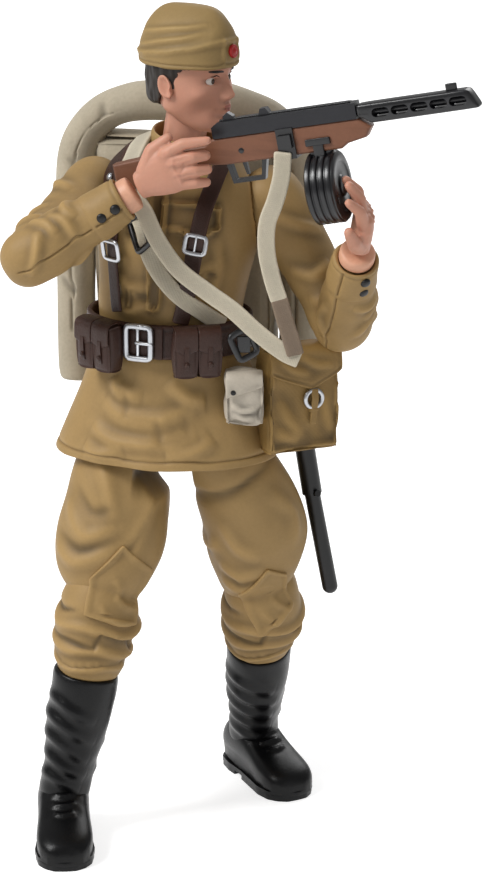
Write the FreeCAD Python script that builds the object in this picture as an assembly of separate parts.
import FreeCAD, Part
import os
from math import cos, radians, sin, sqrt

# A jointed soldier figure at one eighteenth of life size, in millimetres, +Z up.
# The figure faces -Y and its left hand side is +X. Points are first worked out from
# the middle of the hips and the ground, and the whole figure is then moved so that
# the origin lies on the ground under the middle of its overall box.
V = FreeCAD.Vector
BOX_MIDDLE = V(10.72, -0.16, 0)

# Fits
RUN = 0.05            # radial clearance of a peg that turns in its hole
SEAT = 0.25           # clearance of a ball in its cup
AIR = 0.35            # gap between moving parts that never touch
BEND_AIR = 1.1        # gap where the chest bends over the skirt
SKIN = 0.55           # thickness of a leather strap
WEB = 0.60            # thickness of a woven strap

# Legs
ANKLE_H = 5.0
THIGH = 21.7
SHIN = 25.3
HIP_HALF = 5.2
HIP_DROP = 1.8        # the left hip hangs lower than the right
ANKLE = {"right": V(-11.8, -8.5, ANKLE_H), "left": V(6.9, 15.0, ANKLE_H)}
KNEE_HINT = {"right": V(0.3, -1, 0), "left": V(0.9, -0.45, 0)}
FOOT_TURN = {"right": 16.0, "left": 41.0}     # heading, degrees from -Y towards +X
STRETCH = 0.9925      # how straight the right leg is
HIP_BALL = 2.3
CORE_HALF = 2.3       # half width of the pelvis core
CROTCH = 3.1          # half the space left between the thighs
HIP_TOP_R = 4.7
THIGH_R = 6.0
KNEE_R = 4.0
CALF_R = 4.5
SHAFT_TOP_R = 4.0
SHAFT_R = 3.7
ANKLE_R = 3.5
ANKLE_BALL = 2.0
LEG_ROOM = 1.2        # height over the ankle from which the foot clears the boot leg
BOOT_CUT = 0.36       # share of the shin above the top of the boot
FOOT_LENGTH = 15.6
HEEL_BACK = 4.2
FOOT_HALF = 3.2
SOLE = 1.0

# Trunk, heights over the hip line
WAIST_A = 8.5
WAIST_B = 6.3
CHEST_A = 9.5
CHEST_B = 6.8
SKIRT_TOP = 11.9
SKIRT_HEM = -2.1
HEM_A = 13.5
HEM_B = 9.6
SKIRT_WALL = 1.0
CHEST_LOW = 13.0
BELT_LOW = 11.1
BELT_H = 4.1
BELT_T = 0.9
PEG_R = 1.6
WAIST_BALL = 2.2
WAIST_H = 15.0
SHOULDER = {"right": V(-9.2, 1.0, 28.8), "left": V(11.7, 2.5, 28.5)}
SHOULDER_BALL = 2.1
SHOULDER_R = 3.9
NECK_R = 2.3
NECK_BALL = 2.0
COLLAR_R = 3.8
COLLAR_H = 3.4
NECK_BASE = V(1.3, 1.0, 34.2)
HEAD_PIVOT = V(2.2, 0.3, 39.0)
HEAD_MID = V(2.6, -0.3, 43.1)
HEAD_HALF = V(4.3, 5.3, 6.3)
HEAD_TURN = 68.0      # heading of the face, degrees from -Y towards +X
CAP_T = 0.8

# Arms
UPPER_ARM = 16.6
FOREARM = 14.0
WRIST = {"right": V(-0.9, -12.0, 32.2), "left": V(24.0, -9.2, 26.0)}
ARM_SWING = {"right": 28.0, "left": 24.0}       # how far each arm swings down, degrees
ELBOW_HINT = {"right": V(-0.80, -0.30, -0.53), "left": V(4.4, 0.6, -11.7)}
ARM_R = 3.3
ELBOW_R = 2.9
CUFF_R = 2.6
WRIST_R = 1.7
WRIST_BALL = 1.1
HAND_HALF = 2.2
HAND_T = 2.3
HAND_L = 6.6

# Gun: its own x runs along the barrel, z up, from the rear end of the receiver
GUN_REAR = V(7.5, -9.0, 38.3)
GUN_DIR = V(0.976, -0.085, 0.2)
RECEIVER_L = 17.0
RECEIVER_W = 2.1
RECEIVER_TOP = 1.5
STOCK_W = 1.9
STOCK_TOP = -0.3
STOCK_LOW = -3.4
JACKET_END = 31.1
JACKET_H = 2.8
JACKET_W = 2.3
DRUM_AT = 12.0
DRUM_R = 4.1
DRUM_T = 3.4
SLING_W = 2.1
SLING_T = 0.5

# Pack and bags
ROLL_R = 2.4
ROLL_X = (-14.4, 13.2)
ROLL_Y = 11.2
ROLL_TOP = 37.5
ROLL_BEND = 8.0
ROLL_LOW = 2.5
PACK_D = 6.4
PACK_FRONT = 8.2
BAG_W = 8.8
BAG_D = 4.4
BAG_LOW = -0.5
BAG_TOP = 12.2
BAG_TURN = 36.0       # heading of its front face, degrees from -Y towards +X
BAG_CORNER = V(13.2, -5.6, 0)
FLAP_T = 0.5

SIDES = ("right", "left")
OUT = {"right": -1, "left": 1}


def unit(v):
    """A copy of v with length one."""
    w = V(v)
    w.normalize()
    return w


def frame(origin, axis, hint=V(0, 0, 1)):
    """The placement whose z runs along axis and whose x leans towards hint."""
    z = unit(axis)
    x = unit(hint - z * hint.dot(z))
    y = z.cross(x)
    m = FreeCAD.Matrix(x.x, y.x, z.x, origin.x, x.y, y.y, z.y, origin.y,
                       x.z, y.z, z.z, origin.z, 0, 0, 0, 1)
    return FreeCAD.Placement(m)


def put(shape, placement):
    """The shape moved from its own frame into a placement."""
    return shape.transformed(placement.toMatrix())


def two_bones(start, end, first, second, hint):
    """The joint between two bones of given lengths that reach from start to end."""
    span = end - start
    reach = span.Length
    along = unit(span)
    run = (first ** 2 + reach ** 2 - second ** 2) / (2 * reach)
    side = unit(hint - along * hint.dot(along))
    return start + along * run + side * sqrt(first ** 2 - run ** 2)


def hip_points():
    """Both hip centres: the right leg is nearly straight, and the left hip hangs lower."""
    reach = STRETCH * (THIGH + SHIN)
    foot = ANKLE["right"]
    across = (foot.x + HIP_HALF) ** 2 + foot.y ** 2
    top = ANKLE_H + sqrt(reach ** 2 - across)
    return {"right": V(-HIP_HALF, 0, top), "left": V(HIP_HALF, 0, top - HIP_DROP)}


HIP = hip_points()
HIP_Z = (HIP["right"].z + HIP["left"].z) / 2
KNEE = {s: two_bones(HIP[s], ANKLE[s], THIGH, SHIN, KNEE_HINT[s]) for s in SIDES}


def over(v):
    """A point given over the hip line, as a point over the ground."""
    return V(v.x, v.y, v.z + HIP_Z)


SHOULDER = {s: over(SHOULDER[s]) for s in SIDES}
WRIST = {s: over(WRIST[s]) for s in SIDES}
ELBOW = {s: two_bones(SHOULDER[s], WRIST[s], UPPER_ARM, FOREARM, ELBOW_HINT[s]) for s in SIDES}
NECK_BASE = over(NECK_BASE)
HEAD_PIVOT = over(HEAD_PIVOT)
HEAD_MID = over(HEAD_MID)
WAIST_PIVOT = V(0, 0, HIP_Z + WAIST_H)


def hinge_axis(a, b, c):
    """The hinge's direction where the bone a-b meets the bone b-c."""
    return unit((b - a).cross(c - b))


KNEE_AXIS = {s: hinge_axis(HIP[s], KNEE[s], ANKLE[s]) for s in SIDES}
ELBOW_AXIS = {s: hinge_axis(SHOULDER[s], ELBOW[s], WRIST[s]) for s in SIDES}


def heading(degrees_from_front):
    """A level direction, turned from straight ahead towards the figure's left."""
    a = radians(degrees_from_front)
    return V(sin(a), -cos(a), 0)


def turned(profile):
    """A solid turned about z, smooth through the (radius, height) points."""
    points = [V(r, 0, z) for r, z in profile]
    curve = Part.BSplineCurve()
    curve.interpolate(points)
    foot = V(0, 0, points[0].z)
    head = V(0, 0, points[-1].z)
    edges = [curve.toShape(), Part.makeLine(points[-1], head), Part.makeLine(head, foot),
             Part.makeLine(foot, points[0])]
    return Part.Face(Part.Wire(edges)).revolve(V(0, 0, 0), V(0, 0, 1), 360)


def oval(z, cx, cy, a, b):
    """A level oval wire; a is its half width and b its half depth."""
    if a >= b:
        curve = Part.Ellipse(V(cx + a, cy, z), V(cx, cy + b, z), V(cx, cy, z))
    else:
        curve = Part.Ellipse(V(cx, cy + b, z), V(cx - a, cy, z), V(cx, cy, z))
    return Part.Wire([curve.toShape()])


def ovals(sections):
    """A smooth solid through level ovals."""
    return Part.makeLoft([oval(*s) for s in sections], True, False)


def ball(radius, centre):
    return Part.makeSphere(radius, centre)


def rod(radius, a, b):
    """A round bar from a to b."""
    return Part.makeCylinder(radius, (b - a).Length, a, unit(b - a))


def slab(origin, axis, hint, low, high):
    """A box between two corners given in its own frame."""
    box = Part.makeBox(high[0] - low[0], high[1] - low[1], high[2] - low[2], V(*low))
    return put(box, frame(origin, axis, hint))


def softened(shape, radius):
    """The shape with all its edges rounded."""
    return shape.makeFillet(radius, shape.Edges)


def bend_room(centre, axis, radius, bone, turns):
    """The room a bone of the given radius needs as it swings on its hinge."""
    reach = 4 * radius
    room = Part.makeCylinder(radius, 6 * radius, centre - axis * 3 * radius, axis)
    for turn in turns:
        swing = FreeCAD.Rotation(axis, turn)
        along = swing.multVec(bone)
        wide = (-3 * radius, -radius, 0)
        room = room.fuse(slab(centre, along, axis, wide, (3 * radius, radius, reach)))
    return room


# ---- legs ------------------------------------------------------------------------------

KNEE_BEND = 60.0
KNEE_BACK = 8.0


def thigh(side):
    """Upper leg: domed round the hip ball, flared like breeches, hollowed for the knee."""
    hip, knee = HIP[side], KNEE[side]
    along = unit(knee - hip)
    body = turned([(0.6, -HIP_TOP_R), (HIP_TOP_R * 0.8, -HIP_TOP_R * 0.6), (HIP_TOP_R, 0),
                   (THIGH_R * 0.93, THIGH * 0.25), (THIGH_R, THIGH * 0.5),
                   (THIGH_R * 0.88, THIGH * 0.72), (KNEE_R + 0.7, THIGH * 0.9), (KNEE_R, THIGH)])
    body = put(body, frame(hip, along, V(1, 0, 0)))
    shin = unit(ANKLE[side] - knee)
    turns = (-KNEE_BACK, 0, -KNEE_BEND / 2, -KNEE_BEND)
    body = body.cut(bend_room(knee, KNEE_AXIS[side], KNEE_R + SEAT, shin, turns))
    body = body.cut(ball(HIP_BALL + SEAT, hip))
    inside = Part.makeBox(2 * CROTCH, 20, 16, V(-CROTCH, -10, hip.z - 6.5))
    inward = V(-OUT[side], 0, 0)
    return body.cut(inside).cut(Part.makeCone(PEG_R + AIR, HIP_TOP_R, HIP_TOP_R + 2, hip, inward))


def hip_disc(side):
    """Ball of the hip with its peg, which turns in the pelvis."""
    hip = HIP[side]
    end = V(OUT[side] * 1.0, 0, hip.z)
    return ball(HIP_BALL, hip).fuse(rod(PEG_R, hip, end))


def knee_piece(side):
    """Knee ball and calf down to the top of the boot, with the boot's swivel peg."""
    knee, ankle = KNEE[side], ANKLE[side]
    cut = SHIN * BOOT_CUT
    body = turned([(KNEE_R * 0.3, -KNEE_R * 0.95), (KNEE_R * 0.75, -KNEE_R * 0.66), (KNEE_R, 0),
                   (CALF_R * 0.97, cut * 0.45), (CALF_R, cut * 0.75), (CALF_R * 0.93, cut)])
    peg = Part.makeCylinder(PEG_R, 3.0, V(0, 0, cut - 0.5))
    return put(body.fuse(peg), frame(knee, ankle - knee, KNEE_AXIS[side]))


def boot_shaft(side):
    """Boot leg from its top to the ankle, bored for the calf's peg."""
    knee, ankle = KNEE[side], ANKLE[side]
    cut = SHIN * BOOT_CUT + AIR
    span = SHIN - cut
    body = turned([(SHAFT_TOP_R, cut), (SHAFT_TOP_R * 0.98, cut + span * 0.2),
                   (SHAFT_R, cut + span * 0.55), (ANKLE_R * 0.95, cut + span * 0.85),
                   (ANKLE_R * 0.9, SHIN)])
    body = body.cut(Part.makeCylinder(PEG_R + RUN, 3.0, V(0, 0, cut - 0.2)))
    body = body.cut(Part.makeCylinder(PEG_R * 0.6 + RUN, 8.0, V(0, 0, SHIN - 8.0)))
    body = put(body, frame(knee, ankle - knee, KNEE_AXIS[side]))
    return body.cut(ball(ANKLE_R + AIR, ankle))


def ankle_peg(side):
    """Ankle ball with the stem that turns up in the boot leg."""
    knee, ankle = KNEE[side], ANKLE[side]
    up = unit(knee - ankle)
    return ball(ANKLE_BALL, ankle).fuse(rod(PEG_R * 0.6, ankle, ankle + up * 7.5))


def boot_foot(side):
    """Boot foot with heel and sole, cupped round the ankle ball."""
    ankle = ANKLE[side]
    ahead = heading(FOOT_TURN[side])
    toe = FOOT_LENGTH - HEEL_BACK
    w = FOOT_HALF
    sections = [(-HEEL_BACK, w * 0.62, 1.6), (-HEEL_BACK + 1.2, w * 0.86, 3.0), (0, w * 0.9, 3.4),
                (toe * 0.35, w * 0.94, 2.6), (toe * 0.68, w, 1.9), (toe * 0.9, w * 0.82, 1.4),
                (toe, w * 0.5, 0.8)]
    wires = [oval(x, h + SOLE * 0.5, 0, h, half) for x, half, h in sections]
    upper = Part.makeLoft(wires, True, False)
    origin = V(ankle.x, ankle.y, 0)
    upper = put(upper, frame(origin, ahead, V(0, 0, 1)))
    sole_line = [(-HEEL_BACK - 0.2, 0), (-HEEL_BACK + 1.0, w * 0.8), (toe * 0.3, w * 0.84),
                 (toe * 0.65, w * 1.04), (toe * 0.92, w * 0.75), (toe + 0.3, 0)]
    outline = [V(x, y, 0) for x, y in sole_line] + [V(x, -y, 0) for x, y in sole_line[-2:0:-1]]
    curve = Part.BSplineCurve()
    curve.interpolate(outline, PeriodicFlag=True)
    sole = Part.Face(Part.Wire([curve.toShape()])).extrude(V(0, 0, SOLE))
    sole = put(sole, frame(origin, V(0, 0, 1), ahead))
    up = unit(KNEE[side] - ankle)
    leg_room = rod(SHAFT_TOP_R, ankle + up * LEG_ROOM, ankle + up * SHIN / 2)
    foot = upper.cut(leg_room).fuse(sole).fuse(ball(ANKLE_R, ankle))
    under = Part.makeBox(60, 60, 20, V(ankle.x - 30, ankle.y - 30, -20))
    foot = foot.cut(under).cut(ball(ANKLE_BALL + SEAT, ankle))
    return foot.cut(Part.makeCone(PEG_R * 0.6 + AIR, ANKLE_R * 0.85, ANKLE_R + 2, ankle, up))


# ---- trunk -----------------------------------------------------------------------------

def skirt_sections(grow):
    a, b = WAIST_A + 0.2 + grow, WAIST_B + 0.2 + grow
    fall = SKIRT_TOP - SKIRT_HEM
    return [(HIP_Z + SKIRT_TOP, -0.1, 0, a, b),
            (HIP_Z + SKIRT_TOP - fall * 0.4, -0.3, 0, a + (HEM_A - WAIST_A) * 0.33, b + 1.2),
            (HIP_Z + SKIRT_TOP - fall * 0.75, -0.5, 0, a + (HEM_A - WAIST_A) * 0.72, b + 2.4),
            (HIP_Z + SKIRT_HEM, -0.6, 0, HEM_A + grow, HEM_B + grow)]


def tunic_skirt():
    """Skirt of the tunic: an open bell with a closed top that carries the waist peg."""
    bell = ovals(skirt_sections(0))
    roof = HIP_Z + SKIRT_TOP - 3.5
    hollow = ovals(skirt_sections(-SKIRT_WALL))
    hollow = hollow.common(Part.makeBox(60, 60, 40, V(-30, -30, roof - 40)))
    hole = rod(PEG_R + RUN, V(0, 0, roof - 1), V(0, 0, roof + 6))
    return bell.cut(hollow).cut(hole)


def pelvis_block():
    """Core of the hips, bored for both hip pegs and the waist peg."""
    roof = HIP_Z + SKIRT_TOP - 3.5
    low = HIP_Z - 3.4
    block = softened(Part.makeBox(2 * CORE_HALF, 5.0, roof - low, V(-CORE_HALF, -2.5, low)), 0.5)
    for side in SIDES:
        z = HIP[side].z
        reach = V(OUT[side] * 0.8, 0, z)
        block = block.cut(rod(PEG_R + RUN, reach, V(OUT[side] * 4, 0, z)))
    return block.cut(rod(PEG_R + RUN, V(0, 0, roof - 4.2), V(0, 0, roof + 1)))


def waist_peg():
    """Post that turns in the pelvis, with the ball that the chest bends on."""
    roof = HIP_Z + SKIRT_TOP - 3.5
    return rod(PEG_R, V(0, 0, roof - 4.0), WAIST_PIVOT).fuse(ball(WAIST_BALL, WAIST_PIVOT))


def torso_sections(grow):
    g = grow
    return [(HIP_Z + CHEST_LOW, 0, 0, WAIST_A - 0.2 + g, WAIST_B - 0.2 + g),
            (HIP_Z + 16.5, 0.1, 0, WAIST_A + g, WAIST_B + 0.1 + g),
            (HIP_Z + 22.5, 0.9, 0.3, CHEST_A - 0.2 + g, CHEST_B + g),
            (HIP_Z + 28.5, 1.3, 0.8, CHEST_A + g, CHEST_B - 0.3 + g),
            (HIP_Z + 32.5, 1.3, 1.0, CHEST_A * 0.78 + g, CHEST_B * 0.78 + g),
            (HIP_Z + 34.9 + g * 0.6, 1.3, 1.0, 4.4 + g * 0.5, 3.9 + g * 0.5)]


def arm_room():
    """The room both shoulders and upper arms need as they swing down beside the chest."""
    room = None
    for side in SIDES:
        at = SHOULDER[side]
        arm = ELBOW[side] - at
        hollow = ball(SHOULDER_R + AIR, at)
        for turn in (0, ARM_SWING[side] / 2, ARM_SWING[side]):
            along = FreeCAD.Rotation(V(1, 0, 0), turn).multVec(arm)
            hollow = hollow.fuse(Part.makeCylinder(ARM_R * 1.1 + AIR, UPPER_ARM, at, along))
        room = hollow if room is None else room.fuse(hollow)
    return room


def torso():
    body = ovals(torso_sections(0)).cut(arm_room())
    for side in SIDES:
        body = body.cut(rod(PEG_R * 0.7 + RUN, SHOULDER[side], SHOULDER[side] - V(OUT[side] * 7, 0, 0)))
    body = body.cut(ball(WAIST_BALL + SEAT, WAIST_PIVOT))
    body = body.cut(Part.makeCone(PEG_R + 0.3, PEG_R + 1.4, 4, WAIST_PIVOT, V(0, 0, -1)))
    body = body.cut(ball(NECK_BALL + SEAT, NECK_BASE - V(0, 0, 0.6)))
    lean = unit(HEAD_PIVOT - NECK_BASE)
    return body.cut(Part.makeCone(NECK_R + 0.35, NECK_R + 1.2, 4, NECK_BASE - lean * 1.1, lean))


def torso_half(back):
    """Front or back shell of the tunic's body; they meet on the side seams."""
    start = 0 if back else -30
    return torso().common(Part.makeBox(60, 30, 60, V(-30, start, HIP_Z)))


def collar_place():
    lean = unit(HEAD_PIVOT - NECK_BASE)
    return frame(NECK_BASE - lean * 1.2, lean, V(1, 0, 0))


def collar():
    """Low stand collar round the neck."""
    ring = Part.makeCylinder(COLLAR_R, COLLAR_H).cut(Part.makeCylinder(NECK_R + 0.8, COLLAR_H))
    return put(ring, collar_place()).cut(torso_filled())


def torso_filled():
    return ovals(torso_sections(0))


def band_over(points, width, thickness, y_low, y_high):
    """A strap laid over the tunic along (x, height) points seen from the front."""
    skin = ovals(torso_sections(thickness)).cut(torso_filled())
    strap = None
    for (x0, z0), (x1, z1) in zip(points, points[1:]):
        run = sqrt((x1 - x0) ** 2 + (z1 - z0) ** 2)
        box = slab(V(x0, 0, HIP_Z + z0), V(0, 1, 0), V(x1 - x0, 0, z1 - z0),
                   (-0.3, -width / 2, y_low), (run + 0.3, width / 2, y_high))
        strap = box if strap is None else strap.fuse(box)
    return skin.common(strap)


STRAP_W = 1.8
STRAP_RIGHT = [(-6.6, 16.4), (-7.0, 24.0), (-5.6, 36.5)]
STRAP_LEFT = [(3.5, 16.4), (5.0, 24.0), (7.6, 36.5)]
WEBBING = [(9.9, 16.6), (3.4, 21.6), (-2.6, 26.6), (-4.0, 30.0)]
WEBBING_NECK = [(-4.0, 30.0), (-3.2, 37.0)]
WEBBING_W = 1.7


def straps():
    """Leather shoulder straps, the woven bag strap and the woven strap by the neck."""
    web = band_over(WEBBING, WEBBING_W, WEB, -20, 0)
    neck = band_over(WEBBING_NECK, WEBBING_W + 0.5, WEB, -20, 4.5).cut(web)
    right = band_over(STRAP_RIGHT, STRAP_W + 0.6, SKIN, -20, 4.5).cut(web).cut(neck)
    left = band_over(STRAP_LEFT, STRAP_W, SKIN, -20, 4.5).cut(web)
    ring = put(Part.makeCylinder(COLLAR_R + 0.02, 5), collar_place())
    return [s.cut(arm_room()).cut(ring) for s in (right, left, web, neck)]


def frame_buckle(x, z, lean, width, height, bar):
    """A square wire buckle lying on the front of the chest."""
    tilt = radians(lean)
    along = V(sin(tilt), 0, cos(tilt))
    skin = ovals(torso_sections(SKIN + WEB + bar)).cut(ovals(torso_sections(SKIN + WEB)))
    at = V(x, 0, HIP_Z + z)
    outer = slab(at, V(0, 1, 0), along, (-height / 2, -width / 2, -20), (height / 2, width / 2, 0))
    inner = slab(at, V(0, 1, 0), along, (bar - height / 2, bar - width / 2, -20),
                 (height / 2 - bar, width / 2 - bar, 0))
    return skin.common(outer.cut(inner))


def belt():
    """Leather belt round the top of the skirt, clear of the chest inside it."""
    low, high = HIP_Z + BELT_LOW, HIP_Z + BELT_LOW + BELT_H
    a, b = WAIST_A + 0.2 + AIR, WAIST_B + 0.2 + AIR
    outer = ovals([(low, -0.1, 0, a + BELT_T + 0.2, b + BELT_T + 0.2), (high, 0, 0, a + BELT_T, b + BELT_T)])
    inner = ovals([(low - 0.01, -0.1, 0, a, b), (high + 0.01, 0, 0, a, b)])
    return outer.cut(inner).cut(ovals(skirt_sections(0)))


def on_belt(x, proud):
    """The point on the belt's face in front of x, and the direction it faces."""
    a, b = WAIST_A + 0.2 + AIR + BELT_T + proud, WAIST_B + 0.2 + AIR + BELT_T + proud
    y = -b * sqrt(1 - (x / a) ** 2)
    return V(x, y, HIP_Z + BELT_LOW + BELT_H / 2), unit(V(x / a ** 2, y / b ** 2, 0))


def belt_buckle():
    """Open frame buckle with its prong."""
    at, face = on_belt(-1.9, 0.15)
    plate = slab(at, face, V(0, 0, 1), (-2.1, -1.6, -0.1), (2.1, 1.6, 0.45))
    window = slab(at, face, V(0, 0, 1), (-1.6, -1.1, -1), (1.6, 1.1, 2))
    prong = slab(at, face, V(0, 0, 1), (-0.2, -1.3, 0), (0.2, 1.1, 0.6))
    return plate.cut(window).fuse(prong).cut(belt())


def ammo_pouch(x):
    """Double cartridge pouch hung on the belt."""
    at, face = on_belt(x, 0.2)
    pouch = slab(at, face, V(0, 0, 1), (-3.6, -2.7, -0.05), (2.6, 2.7, 2.2))
    return softened(pouch, 0.5).cut(belt())


def bag_frame():
    """The haversack's own frame: x along its face, y inwards, z up."""
    face = heading(BAG_TURN)
    along = V(-face.y, face.x, 0)
    return over(BAG_CORNER), along, face


def haversack():
    """Square bag on the left hip, shaped to the skirt behind it."""
    at, along, face = bag_frame()
    body = slab(at, V(0, 0, 1), along, (0, 0, BAG_LOW), (BAG_W, BAG_D, BAG_TOP))
    return softened(body, 0.7).cut(ovals(skirt_sections(0.05))).cut(belt_room())


def belt_room():
    return ovals([(HIP_Z + BELT_LOW - 0.2, -0.1, 0, WAIST_A + 2.1, WAIST_B + 2.1),
                  (HIP_Z + 20, 0.3, 0.1, WAIST_A + 2.1, WAIST_B + 1.9)])


def haversack_flap():
    """Flap folded over the front of the bag, ending in a blunt point."""
    at, along, face = bag_frame()
    line = [(-0.3, BAG_TOP - 0.6), (BAG_W + 0.3, BAG_TOP - 0.6), (BAG_W + 0.3, 9.6), (5.2, 7.4), (-0.3, 9.4)]
    points = [at + along * x + V(0, 0, z) + face * 0.02 for x, z in line]
    sheet = Part.Face(Part.makePolygon(points + points[:1]))
    return sheet.extrude(face * FLAP_T)


def haversack_ring():
    """Metal ring with its toggle on the front of the bag."""
    at, along, face = bag_frame()
    centre = at + along * 5.2 + V(0, 0, 6.0) + face * 0.35
    ring = Part.makeTorus(1.15, 0.28, centre, face)
    toggle = rod(0.35, centre - along * 1.1, centre + along * 1.1)
    return ring.fuse(toggle)


def small_pouch():
    """Small canvas pouch in front of the bag's side."""
    body = Part.makeBox(4.5, 3.2, 6.4, V(8.4, -8.2, HIP_Z + 3.8))
    body = softened(body, 0.8).cut(ovals(skirt_sections(0.05)))
    at, along, face = bag_frame()
    bag = slab(at, V(0, 0, 1), along, (-0.05, -0.6, BAG_LOW), (BAG_W, BAG_D, BAG_TOP))
    return body.cut(bag)


def scabbard():
    """Stepped sheath behind the bag with its hanger on the belt."""
    low, mid, top = V(18.2, 6.5, HIP_Z - 20.6), V(16.1, 5.5, HIP_Z - 8.4), V(13.9, 4.6, HIP_Z + 6.5)
    body = rod(0.95, low, mid).fuse(ball(0.95, low)).fuse(rod(1.2, mid, top))
    stud = rod(0.4, mid, mid + V(1.0, -1.4, 0.4))
    hanger = slab(top, V(-3.2, -0.9, 3.6), V(0, 1, 0), (-1.0, -0.5, -0.4), (1.0, 0.5, 7.2))
    body = body.fuse(stud).fuse(hanger)
    return body.cut(ovals(skirt_sections(0.05))).cut(belt_solid())


def belt_solid():
    low, high = HIP_Z + BELT_LOW, HIP_Z + 30
    a, b = WAIST_A + 0.4 + AIR + BELT_T, WAIST_B + 0.4 + AIR + BELT_T
    return ovals([(low, -0.1, 0, a, b), (high, 0, 0, a, b)])


# ---- head ------------------------------------------------------------------------------

def neck_post():
    """Neck with a ball at each end: it nods in the chest and the head turns on it."""
    base = NECK_BASE - V(0, 0, 0.6)
    lean = unit(HEAD_PIVOT - base)
    return rod(NECK_R, base + lean * 0.3, HEAD_PIVOT).fuse(ball(NECK_BALL, base)).fuse(ball(NECK_R, HEAD_PIVOT))


def head_place():
    return frame(HEAD_MID, V(0, 0, 1), heading(HEAD_TURN))


def head_ovals(grow, low, high):
    """The skull between two heights; x points ahead. Each oval follows an egg shape."""
    sections = []
    for share, half, wide, ahead in ((-1.0, 0.30, 0.34, 0.34), (-0.85, 0.58, 0.56, 0.20),
                                     (-0.5, 0.84, 0.80, 0.06), (0.0, 0.98, 0.97, 0.0),
                                     (0.35, 1.0, 1.0, -0.03), (0.7, 0.82, 0.82, -0.03),
                                     (0.93, 0.45, 0.45, -0.03), (1.0, 0.18, 0.18, -0.03)):
        if low <= share <= high:
            sections.append((share * (HEAD_HALF.z + grow), ahead * HEAD_HALF.y, 0,
                             half * HEAD_HALF.y + grow, wide * HEAD_HALF.x + grow))
    return ovals(sections)


def head():
    """Plain head with nose and ears, socketed for the neck."""
    skull = head_ovals(0, -1, 1)
    nose = put(turned([(0.75, 0), (0.6, 1.0), (0.25, 2.4)]),
               frame(V(HEAD_HALF.y * 0.93, 0, -1.9), V(0.18, 0, 1), V(1, 0, 0)))
    whole = skull.fuse(nose)
    for way in (-1, 1):
        ear = Part.makeCylinder(1.25, 0.6, V(-0.5, way * (HEAD_HALF.x * 0.96) - 0.3, -0.7), V(0, 1, 0))
        whole = whole.fuse(ear)
    whole = put(whole, head_place())
    down = unit(NECK_BASE - HEAD_PIVOT)
    whole = whole.cut(ball(NECK_R + SEAT, HEAD_PIVOT))
    return whole.cut(Part.makeCone(NECK_R + 0.2, NECK_R + 1.2, 6, HEAD_PIVOT, down))


CAP_LOW = 0.28


def cap_solid(grow):
    """The cap's outer form: a folded cap, higher in front, drawn up to a ridge."""
    z = HEAD_HALF.z
    a, b = HEAD_HALF.y + grow, HEAD_HALF.x + grow
    return ovals([(CAP_LOW * z, -0.1, 0, a * 1.02, b * 1.03), (0.62 * z, -0.1, 0, a * 1.0, b * 0.96),
                  (0.95 * z, 0.0, 0, a * 0.90, b * 0.74), (1.18 * z, 0.1, 0, a * 0.72, b * 0.42),
                  (1.30 * z, 0.2, 0, a * 0.50, b * 0.16)])


def cap():
    """Side cap over the hair."""
    skull = head_ovals(0.35, -1, 1)
    return put(cap_solid(CAP_T).cut(skull), head_place())


def cap_badge():
    """Plain round badge on the front of the cap."""
    at = V(HEAD_HALF.y + CAP_T + 0.1, 0, HEAD_HALF.z * 0.55)
    disc = Part.makeCylinder(0.75, 0.6, at - V(0.45, 0, 0), V(1, 0, 0.12))
    return put(disc.cut(cap_solid(CAP_T)), head_place())


def hair():
    """Short hair: a thin layer behind the face and under the cap."""
    layer = head_ovals(0.33, -1, 1).cut(head_ovals(0, -1, 1))
    behind = Part.makeBox(8, 20, 7.4, V(-8.3, -10, -2.6))
    crown = Part.makeBox(20, 20, 10, V(-10, -10, CAP_LOW * HEAD_HALF.z))
    layer = layer.common(behind.fuse(crown))
    for way in (-1, 1):
        ear = Part.makeCylinder(1.3, 2.0, V(-0.5, way * HEAD_HALF.x - 1.0, -0.7), V(0, 1, 0))
        layer = layer.cut(ear)
    layer = put(layer, head_place())
    solids = sorted(layer.Solids, key=lambda s: s.Volume)
    return solids[-1]


# ---- arms ------------------------------------------------------------------------------

ELBOW_OPEN = 70.0
HAND_ROLL = {"right": V(0.1, -1, 0.1), "left": V(-1, -0.25, 0)}


def shoulder_disc(side):
    """Ball of the shoulder with the peg that turns in the chest."""
    at = SHOULDER[side]
    return ball(SHOULDER_BALL, at).fuse(rod(PEG_R * 0.7, at, at - V(OUT[side] * 6.5, 0, 0)))


def upper_arm(side):
    """Sleeve from the shoulder to the elbow, cupped round the elbow ball."""
    at, elbow = SHOULDER[side], ELBOW[side]
    body = turned([(0.6, -SHOULDER_R), (SHOULDER_R * 0.8, -SHOULDER_R * 0.6), (SHOULDER_R, 0),
                   (ARM_R * 1.08, UPPER_ARM * 0.35), (ARM_R, UPPER_ARM * 0.7),
                   (ELBOW_R, UPPER_ARM + 0.4)])
    body = put(body, frame(at, elbow - at, V(1, 0, 0)))
    fore = unit(WRIST[side] - elbow)
    turns = (0, -ELBOW_OPEN * 0.5, -ELBOW_OPEN)
    body = body.cut(bend_room(elbow, ELBOW_AXIS[side], ELBOW_R + AIR, fore, turns))
    body = body.cut(ball(SHOULDER_BALL + SEAT, at))
    inward = V(-OUT[side], 0, 0)
    return body.cut(Part.makeCone(PEG_R, SHOULDER_R + 0.4, SHOULDER_R + 2, at, inward))


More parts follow.
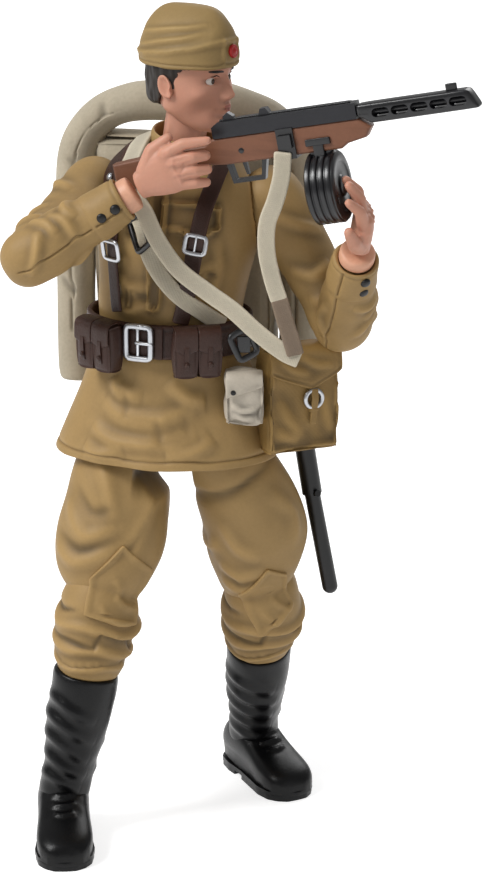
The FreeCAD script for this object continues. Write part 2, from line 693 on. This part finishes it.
def forearm(side):
    """Sleeve from the elbow to the cuff, bored for the wrist peg."""
    elbow, wrist = ELBOW[side], WRIST[side]
    body = turned([(0.6, -ELBOW_R), (ELBOW_R * 0.8, -ELBOW_R * 0.6), (ELBOW_R, 0),
                   (ELBOW_R * 0.99, FOREARM * 0.35), (CUFF_R * 1.03, FOREARM * 0.65),
                   (CUFF_R, FOREARM - 2.0)])
    body = body.cut(Part.makeCylinder(0.8 + RUN, 5, V(0, 0, FOREARM - 6.0)))
    return put(body, frame(elbow, wrist - elbow, V(0, -1, 0)))


def cuff_buttons(side):
    """Two round buttons on the outer face of the cuff."""
    elbow, wrist = ELBOW[side], WRIST[side]
    place = frame(elbow, wrist - elbow, V(0, -1, 0) if side == "right" else V(0.7, -1, 0))
    pair = [Part.makeCylinder(0.55, 0.9, V(CUFF_R - 0.35, 0, FOREARM - back), V(1, 0, 0))
            for back in (2.9, 4.7)]
    sleeve = forearm(side)
    return Part.makeCompound([put(b, place).cut(sleeve) for b in pair])


def wrist_peg(side):
    """Pin that turns in the cuff, with the wrist ball that the hand bends on."""
    elbow, wrist = ELBOW[side], WRIST[side]
    back = unit(elbow - wrist)
    collar_ring = rod(WRIST_R, wrist + back * 1.7, wrist + back * 0.9)
    return rod(0.8, wrist + back * 5.8, wrist).fuse(ball(WRIST_BALL, wrist)).fuse(collar_ring)


def hand_place(side):
    """Right hand: back outwards, beside the gun. Left hand: palm against the drum."""
    wrist = WRIST[side]
    aim = V(1, -0.02, 0.42) if side == "right" else V(0.16, -0.28, 1)
    return frame(wrist, aim, HAND_ROLL[side])


def hand(side):
    """Hand with a thumb; its own x points out of the back or the palm."""
    half, thick, length = HAND_HALF, HAND_T / 2, HAND_L
    rows = [(0.75, 1.2, 1.2, 0), (1.8, half * 0.8, thick * 0.95, 0), (3.4, half, thick, 0),
            (length * 0.72, half * 0.92, thick * 0.9, -0.1), (length * 0.95, half * 0.75, thick * 0.7, -0.3)]
    wires = [oval(z, shift, 0, t, w) for z, w, t, shift in rows]
    body = Part.makeLoft(wires, True, False)
    way = 1 if side == "right" else -1
    thumb = rod(0.65, V(0, way * half * 0.7, 2.2), V(0, way * (half + 0.55), 4.6))
    body = put(body.fuse(thumb), hand_place(side))
    return body.cut(ball(WRIST_BALL + 0.1, WRIST[side])).cut(
        rod(WRIST_R * 0.75, WRIST[side], WRIST[side] + unit(ELBOW[side] - WRIST[side]) * 2))


# ---- gun -------------------------------------------------------------------------------

def gun_place():
    """Local z is the barrel's direction and local x is up."""
    return frame(over(GUN_REAR), GUN_DIR, V(0, 0, 1))


def plate(line, width):
    """A flat piece from (along, up) points, centred on the gun's middle plane."""
    points = [V(up, -width / 2, along) for along, up in line]
    return Part.Face(Part.makePolygon(points + points[:1])).extrude(V(0, width, 0))


def gun_stock():
    """Wooden stock from the butt to the fore end, let in under the receiver."""
    line = [(-12.6, -1.6), (-5.0, -1.0), (-1.2, -0.9), (-0.2, STOCK_TOP), (RECEIVER_L, STOCK_TOP),
            (18.4, -1.4), (17.6, -2.5), (15.4, -2.9), (14.6, STOCK_LOW), (1.0, STOCK_LOW),
            (-2.2, -3.1), (-5.5, -3.6), (-12.6, -5.2)]
    wood = plate(line, STOCK_W)
    neck = plate([(DRUM_AT - 1.3, -5), (DRUM_AT + 1.3, -5), (DRUM_AT + 1.3, -1.6), (DRUM_AT - 1.3, -1.6)], 1.4)
    return put(long_edges_softened(wood, 0.3).cut(neck), gun_place())


def long_edges_softened(shape, radius):
    """The plate with the edges of both its flat sides rounded."""
    edges = [e for e in shape.Edges if abs(e.Vertexes[0].Y - e.Vertexes[-1].Y) < 1e-6]
    return shape.makeFillet(radius, edges)


def receiver():
    """Steel receiver with its sights and bolt handle."""
    line = [(0, STOCK_TOP), (0, RECEIVER_TOP - 0.5), (0.8, RECEIVER_TOP), (RECEIVER_L, RECEIVER_TOP),
            (RECEIVER_L, STOCK_TOP)]
    body = plate(line, RECEIVER_W)
    rear = plate([(1.4, RECEIVER_TOP), (1.4, RECEIVER_TOP + 0.5), (2.0, RECEIVER_TOP + 0.9),
                  (2.6, RECEIVER_TOP + 0.4), (2.6, RECEIVER_TOP)], 0.9)
    leaf = plate([(5.6, RECEIVER_TOP), (5.9, RECEIVER_TOP + 0.8), (6.6, RECEIVER_TOP + 0.8),
                  (7.0, RECEIVER_TOP)], 1.1)
    return put(body.fuse(rear).fuse(leaf), gun_place())


def barrel_jacket():
    """Slotted barrel jacket with a slanted muzzle and the front sight."""
    low, high = RECEIVER_TOP - JACKET_H, RECEIVER_TOP - 0.1
    line = [(RECEIVER_L + 0.02, low + 1.2), (RECEIVER_L + 1.8, low), (JACKET_END, low),
            (JACKET_END - 1.4, high), (RECEIVER_L + 0.02, high)]
    body = long_edges_softened(plate(line, JACKET_W), 0.45)
    pitch = (JACKET_END - RECEIVER_L - 3.6) / 5
    for i in range(5):
        start = RECEIVER_L + 2.4 + pitch * i
        slot = plate([(start, low + 1.0), (start + pitch * 0.55, low + 1.0),
                      (start + pitch * 0.55, low + 1.75), (start, low + 1.75)], 4)
        body = body.cut(slot)
    mid = (low + high) / 2
    bore = Part.makeCylinder(0.45, JACKET_END + 0.3 - RECEIVER_L - 0.5, V(mid, 0, RECEIVER_L + 0.5))
    sight = plate([(JACKET_END - 4.0, high), (JACKET_END - 3.6, high + 0.9), (JACKET_END - 3.0, high + 0.9),
                   (JACKET_END - 2.6, high)], 0.5)
    return put(body.fuse(bore).fuse(sight), gun_place())


def trigger_guard():
    """Guard and trigger under the stock."""
    line = [(0.8, STOCK_LOW), (1.2, STOCK_LOW - 2.3), (5.0, STOCK_LOW - 2.3), (5.6, STOCK_LOW)]
    hole = [(1.35, STOCK_LOW + 0.01), (1.65, STOCK_LOW - 1.85), (4.65, STOCK_LOW - 1.85), (5.05, STOCK_LOW + 0.01)]
    trigger = plate([(2.6, STOCK_LOW), (2.9, STOCK_LOW - 1.5), (3.2, STOCK_LOW - 1.5), (3.1, STOCK_LOW)], 0.5)
    return put(plate(line, 0.9).cut(plate(hole, 2)).fuse(trigger), gun_place())


BAND_AT = 8.4
BOSS = 1.5            # side of the square sling boss


def stock_band():
    """Steel band round the stock and receiver, with the sling's boss."""
    w = STOCK_W / 2 + 0.3
    outer = plate([(BAND_AT - 1.0, STOCK_LOW - 0.3), (BAND_AT + 1.0, STOCK_LOW - 0.3),
                   (BAND_AT + 1.0, STOCK_TOP + 0.1), (BAND_AT - 1.0, STOCK_TOP + 0.1)], 2 * w)
    boss = Part.makeBox(BOSS, 0.5, BOSS, V(-2.4, w - 0.05, BAND_AT - BOSS / 2))
    solid = put(outer.fuse(boss), gun_place())
    return solid.cut(gun_stock()).cut(receiver())


SLING = [V(14.9, -11.2, 36.6), V(13.7, -9.8, 28.0), V(15.4, -9.4, 19.0), V(16.7, -9.2, 13.4),
         V(15.2, -9.15, 13.3), V(8.6, -9.1, 18.8), V(1.6, -8.95, 26.0), V(-2.6, -8.75, 31.0)]


def gun_sling():
    """Woven sling: down from the band, turned over, and back up to the butt."""
    points = [over(p) for p in SLING]
    ribbon = None
    for a, b in zip(points, points[1:]):
        piece = slab(a, V(0, -1, 0), b - a, (-0.25, -SLING_W / 2, -SLING_T / 2),
                     ((b - a).Length + 0.25, SLING_W / 2, SLING_T / 2))
        ribbon = piece if ribbon is None else ribbon.fuse(piece)
    return ribbon.removeSplitter().cut(gun_stock()).cut(stock_band())


def drum():
    """Drum magazine with its feed neck."""
    w = STOCK_LOW - DRUM_R - 0.15
    body = Part.makeCylinder(DRUM_R, DRUM_T, V(w, 0, DRUM_AT - DRUM_T / 2))
    body = body.makeFillet(0.35, body.Edges[:1] + body.Edges[2:3])
    lug = Part.makeBox(w * -1 - 1.75, 1.3, 2.4, V(w, -0.65, DRUM_AT - 1.2))
    return put(body.fuse(lug), gun_place())


# ---- pack ------------------------------------------------------------------------------

def blanket_roll():
    """Blanket rolled into a horseshoe over the top of the pack."""
    left, right = ROLL_X
    low, high = HIP_Z + ROLL_LOW, HIP_Z + ROLL_TOP
    r = ROLL_BEND
    half = r * sqrt(0.5)
    a, b = V(left, ROLL_Y, low), V(left, ROLL_Y, high - r)
    c, d = V(left + r, ROLL_Y, high), V(right - r, ROLL_Y, high)
    e, f = V(right, ROLL_Y, high - r), V(right, ROLL_Y, low)
    turn_l = V(left + r - half, ROLL_Y, high - r + half)
    turn_r = V(right - r + half, ROLL_Y, high - r + half)
    path = Part.Wire([Part.makeLine(a, b), Part.Arc(b, turn_l, c).toShape(), Part.makeLine(c, d),
                      Part.Arc(d, turn_r, e).toShape(), Part.makeLine(e, f)])
    ring = Part.Wire([Part.makeCircle(ROLL_R, a, V(0, 0, 1))])
    return path.makePipeShell([ring], True, False)


def backpack():
    """Soft square pack inside the horseshoe, its back shaped to the tunic."""
    low, high = HIP_Z + 4.5, HIP_Z + ROLL_TOP - ROLL_R - 2.0
    wide = ROLL_R + 0.15
    body = Part.makeBox(ROLL_X[1] - ROLL_X[0] - 2 * wide, PACK_D, high - low,
                        V(ROLL_X[0] + wide, PACK_FRONT, low))
    return softened(body, 1.8).cut(blanket_roll()).cut(ovals(skirt_sections(BEND_AIR)))


def build():
    """Every node of the figure by name, before the origin is set."""
    right_strap, left_strap, web, neck_web = straps()
    nodes = {
        "pelvis_block": pelvis_block(), "tunic_skirt": tunic_skirt(), "waist_belt": belt(),
        "belt_buckle": belt_buckle(), "ammo_pouch_right": ammo_pouch(-6.2),
        "ammo_pouch_left": ammo_pouch(4.7), "haversack": haversack(), "haversack_flap": haversack_flap(),
        "haversack_ring": haversack_ring(), "small_pouch": small_pouch(), "scabbard": scabbard(),
        "waist_peg": waist_peg(), "torso_front": torso_half(False), "torso_back": torso_half(True),
        "collar": collar(), "strap_right": right_strap, "strap_left": left_strap,
        "haversack_strap": web, "neck_strap": neck_web,
        "strap_buckle": frame_buckle(5.6, 24.3, 12, 2.6, 2.4, 0.4),
        "web_buckle": frame_buckle(-2.2, 26.0, 150, 2.6, 4.0, 0.45),
        "neck_post": neck_post(), "head": head(), "hair": hair(), "cap": cap(), "cap_badge": cap_badge(),
        "gun_stock": gun_stock(), "gun_receiver": receiver(), "barrel_jacket": barrel_jacket(),
        "trigger_guard": trigger_guard(), "stock_band": stock_band(), "gun_sling": gun_sling(),
        "drum_magazine": drum(), "blanket_roll": blanket_roll(), "backpack": backpack(),
    }
    makers = (hip_disc, thigh, knee_piece, boot_shaft, ankle_peg, boot_foot,
              shoulder_disc, upper_arm, forearm, cuff_buttons, wrist_peg, hand)
    for side in SIDES:
        for maker in makers:
            nodes[f"{maker.__name__}_{side}"] = maker(side)
    return nodes


def main():
    os.makedirs("parts", exist_ok=True)
    for name, shape in build().items():
        shape = shape.translated(BOX_MIDDLE * -1)
        solids = shape.Solids
        print(f"{name:20s} solids {len(solids)}  valid {shape.isValid()}  volume {shape.Volume:8.2f}")
        kept = solids[0] if len(solids) == 1 else Part.makeCompound(solids)
        kept.exportStep(f"parts/{name}.step")


if __name__ == "__main__":
    main()
